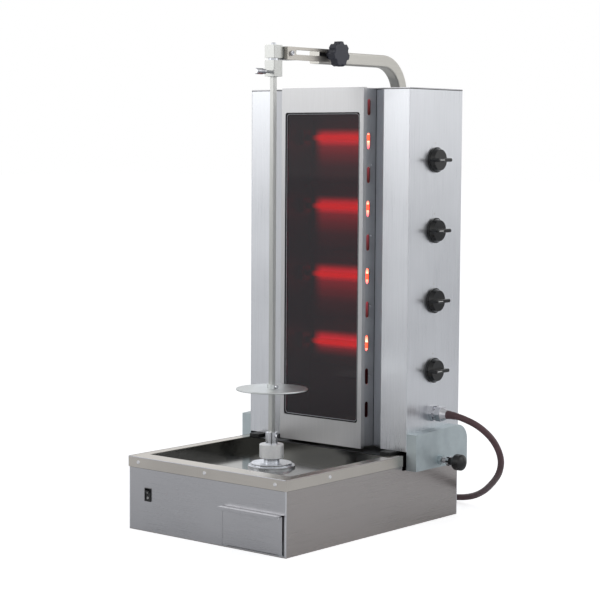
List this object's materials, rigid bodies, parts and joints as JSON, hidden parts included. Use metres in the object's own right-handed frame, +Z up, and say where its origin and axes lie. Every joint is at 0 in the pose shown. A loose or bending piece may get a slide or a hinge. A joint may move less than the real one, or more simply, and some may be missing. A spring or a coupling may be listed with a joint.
{
  "type": "vertical doner kebab grill",
  "caption": "Counter-top upright doner grill: steel base with drip tray and fat drawer, glazed heater head, turning square spindle with a height-set disc, and a bent tube arm.",
  "frame": {"origin": "centre of the base cabinet's underside", "axes": "+X to the right as seen by the cook, +Y to the back, +Z up"},
  "size_m": [0.628, 0.822, 0.953],
  "materials": {
    "stainless": "brushed stainless steel sheet and bar",
    "zinc": "zinc-plated folded steel",
    "black_plastic": "moulded black plastic",
    "red_plastic": "translucent red switch paddle",
    "star_plastic": "moulded dark grey plastic",
    "glass": "tinted heat-resistant glass",
    "element": "glowing radiant element",
    "ceramic": "unglazed steatite",
    "gasket": "woven heat-resistant gasket",
    "cable": "heat-resistant rubber sheath",
    "motor": "painted cast housing",
    "gearcase": "cast aluminium",
    "nickel": "nickel-plated brass"
  },
  "bodies": {
    "base": {"base_pan": "stainless", "base_front_panel": "stainless", "base_rear_panel": "stainless", "rim_front": "stainless", "rim_left": "stainless", "rim_right": "stainless", "rear_deck": "stainless", "drip_tray": "stainless", "drawer_runners": "zinc", "gear_motor": "motor", "gearbox": "gearcase", "bearing_flange": "stainless", "rocker_bezel": "black_plastic", "slide_rails": "zinc", "rim_rivets": "stainless"},
    "rocker": {"rocker_paddle": "red_plastic"},
    "drawer": {"drawer_front": "stainless", "drawer_box": "stainless"},
    "spindle": {"drive_shaft": "stainless", "spindle_coupling": "stainless", "spindle_collar": "stainless", "collar_screw": "stainless", "spindle_bar": "stainless", "top_clamp_block": "stainless", "thumb_screw": "stainless", "pivot_pin": "stainless"},
    "disc": {"meat_disc": "stainless", "disc_set_screw": "stainless"},
    "head": {"left_column": "stainless", "right_column": "stainless", "housing_side_left": "stainless", "housing_side_right": "stainless", "roof_panel": "stainless", "head_floor": "stainless", "front_frame": "stainless", "glass_gasket": "gasket", "glass_panel": "glass", "heating_elements": "element", "element_holders": "ceramic", "reflector_plate": "stainless", "rear_cover": "stainless", "mast_tube": "stainless", "mast_brackets": "zinc", "bracket_left": "zinc", "bracket_right": "zinc", "heat_regulators": "black_plastic", "terminal_block": "ceramic", "cable_gland": "nickel", "mains_cable": "cable", "cable_coil": "cable", "mains_plug": "black_plastic"},
    "knob_1": {"heat_knob_1": "black_plastic"},
    "knob_2": {"heat_knob_2": "black_plastic"},
    "knob_3": {"heat_knob_3": "black_plastic"},
    "knob_4": {"heat_knob_4": "black_plastic"},
    "clamp_right": {"clamp_knob_right": "black_plastic"},
    "clamp_left": {"clamp_knob_left": "black_plastic"},
    "arm_extension": {"extension_bar": "stainless", "bearing_block": "stainless"},
    "arm_knob": {"star_knob": "star_plastic"}
  },
  "joints": [
    {"name": "rocker_tilt", "type": "hinge", "parent": "base", "child": "rocker", "pos_m": [-0.1495, -0.264, 0.0728], "axis": [1, 0, 0], "range_deg": [-16, 0]},
    {"name": "drawer_slide", "type": "slide", "parent": "base", "child": "drawer", "axis": [0, -1, 0], "range_m": [0, 0.25]},
    {"name": "spindle_spin", "type": "hinge", "parent": "base", "child": "spindle", "pos_m": [0, -0.078, 0], "axis": [0, 0, 1], "continuous": true},
    {"name": "disc_height", "type": "slide", "parent": "spindle", "child": "disc", "axis": [0, 0, 1], "range_m": [-0.08, 0.55]},
    {"name": "head_slide", "type": "slide", "parent": "base", "child": "head", "axis": [0, -1, 0], "range_m": [0, 0.07]},
    {"name": "heat_1", "type": "hinge", "parent": "head", "child": "knob_1", "pos_m": [0.203, 0.1764, 0.3045], "axis": [1, 0, 0], "range_deg": [-270, 0]},
    {"name": "heat_2", "type": "hinge", "parent": "head", "child": "knob_2", "pos_m": [0.203, 0.1764, 0.4435], "axis": [1, 0, 0], "range_deg": [-270, 0]},
    {"name": "heat_3", "type": "hinge", "parent": "head", "child": "knob_3", "pos_m": [0.203, 0.1764, 0.5825], "axis": [1, 0, 0], "range_deg": [-270, 0]},
    {"name": "heat_4", "type": "hinge", "parent": "head", "child": "knob_4", "pos_m": [0.203, 0.1764, 0.7215], "axis": [1, 0, 0], "range_deg": [-270, 0]},
    {"name": "clamp_right_turn", "type": "hinge", "parent": "head", "child": "clamp_right", "pos_m": [0.227, 0.1703, 0.128], "axis": [1, 0, 0], "range_deg": [0, 360]},
    {"name": "clamp_left_turn", "type": "hinge", "parent": "head", "child": "clamp_left", "pos_m": [-0.227, 0.1703, 0.128], "axis": [-1, 0, 0], "range_deg": [0, 360]},
    {"name": "extension_slide", "type": "slide", "parent": "head", "child": "arm_extension", "axis": [0, 1, 0], "range_m": [0, 0.07]},
    {"name": "arm_knob_turn", "type": "hinge", "parent": "head", "child": "arm_knob", "pos_m": [0.0211, 0.07, 0.928], "axis": [1, 0, 0], "range_deg": [0, 360]}
  ],
  "couplings": [
    {"joint": "extension_slide", "follows": "head_slide", "ratio": 1}
  ]
}
